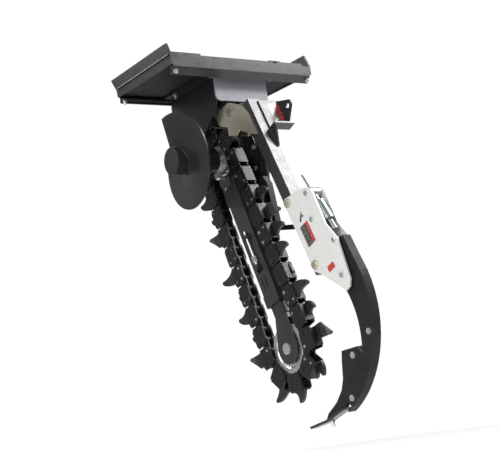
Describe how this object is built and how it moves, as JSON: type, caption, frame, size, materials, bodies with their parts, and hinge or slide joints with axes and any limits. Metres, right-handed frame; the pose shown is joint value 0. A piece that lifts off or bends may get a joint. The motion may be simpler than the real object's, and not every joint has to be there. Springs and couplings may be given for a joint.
{
  "type": "chain trencher attachment",
  "caption": "Hydraulic chain trencher attachment: hitch frame with a sideways sliding head, digging chain on a leaning boom, spoil auger and a swinging crumber bar.",
  "frame": {"origin": "centre of the top face of the hitch plate, at the middle of its hitch bolt pattern", "axes": "+Z out of the hitch plate towards the loader, X along the drive shaft with the spoil auger on the -X side, crumber bar on the -Y side"},
  "size_m": [0.792, 1.2036, 1.7333],
  "materials": {
    "black_coat": "black powder coat, satin",
    "head_coat": "black powder coat, satin",
    "boom_coat": "grey-black powder coat, satin",
    "light_plate": "light grey enamel, smooth",
    "clamp_coat": "off-white enamel, smooth",
    "yellow_zinc": "yellow zinc plating",
    "bright_zinc": "bright zinc plating",
    "bare_steel": "machined steel",
    "chain_steel": "black oiled steel",
    "tooth_steel": "black hardened steel with worn edges",
    "auger_coat": "black powder coat, satin",
    "motor_coat": "black enamel, gloss"
  },
  "bodies": {
    "mount_frame": {"hitch_plate": "black_coat", "near_rail": "black_coat", "far_rail": "black_coat", "end_plate_left": "black_coat", "end_plate_right": "black_coat", "hitch_bar": "black_coat", "slide_lips": "black_coat", "rail_bolts": "bright_zinc"},
    "head": {"head_top_plate": "head_coat", "head_side_left": "head_coat", "head_side_right": "head_coat", "head_front_plate": "light_plate", "clamp_bolts": "bright_zinc", "motor_flange": "motor_coat", "flange_bolts": "bright_zinc", "gearbox": "motor_coat", "hydraulic_motor": "motor_coat", "motor_cap": "motor_coat", "hose_fittings": "bright_zinc", "boom_bracket": "boom_coat", "boom_outer": "boom_coat", "boom_collar": "boom_coat", "rod_anchor": "boom_coat", "chain_outer_plates": "chain_steel", "chain_inner_plates": "chain_steel", "chain_pins": "bare_steel", "chain_rollers": "chain_steel", "tooth_seats": "chain_steel", "fin_teeth": "tooth_steel", "cup_teeth": "tooth_steel", "tooth_bolts": "bright_zinc", "parking_leg": "head_coat", "pivot_lugs": "head_coat"},
    "boom_nose": {"boom_inner": "boom_coat", "nose_plates": "boom_coat", "nose_insert": "boom_coat", "idler_pin": "bright_zinc", "tension_rod": "bright_zinc", "tension_nuts": "bright_zinc", "tension_lug": "boom_coat"},
    "idler": {"idler_wheel": "bare_steel", "idler_bearings": "bare_steel"},
    "drive": {"drive_shaft": "bare_steel", "drive_sprocket": "bare_steel", "hub_flange": "motor_coat", "hub_bolts": "bright_zinc", "auger_tube": "auger_coat", "auger_flight": "auger_coat"},
    "crumber": {"pivot_plates": "yellow_zinc", "pivot_bolt": "yellow_zinc", "crumber_tube": "black_coat", "lifting_bracket": "black_coat", "crumber_clamps": "clamp_coat", "crumber_bolts": "yellow_zinc", "crumber_small_bolts": "bright_zinc", "spacer_strut": "bright_zinc", "shoe_webs": "black_coat", "shoe_back": "black_coat", "shoe_foot": "black_coat", "shoe_tip": "black_coat"}
  },
  "joints": [
    {"name": "side_shift", "type": "slide", "parent": "mount_frame", "child": "head", "axis": [1, 0, 0], "range_m": [-0.15, 0.1]},
    {"name": "auger_drive", "type": "hinge", "parent": "head", "child": "drive", "pos_m": [-0.052, -0.018, -0.395], "axis": [1, 0, 0], "continuous": true},
    {"name": "boom_tension", "type": "slide", "parent": "head", "child": "boom_nose", "axis": [0, -0.3396, -0.9406], "range_m": [-0.012, 0]},
    {"name": "idler_turn", "type": "hinge", "parent": "boom_nose", "child": "idler", "pos_m": [-0.052, -0.34672, -1.30557], "axis": [1, 0, 0], "continuous": true},
    {"name": "crumber_swing", "type": "hinge", "parent": "head", "child": "crumber", "pos_m": [-0.052, -0.21201, -0.21645], "axis": [-1, 0, 0], "range_deg": [0, 65]}
  ],
  "couplings": [
    {"joint": "idler_turn", "follows": "auger_drive", "ratio": 0.76617}
  ]
}
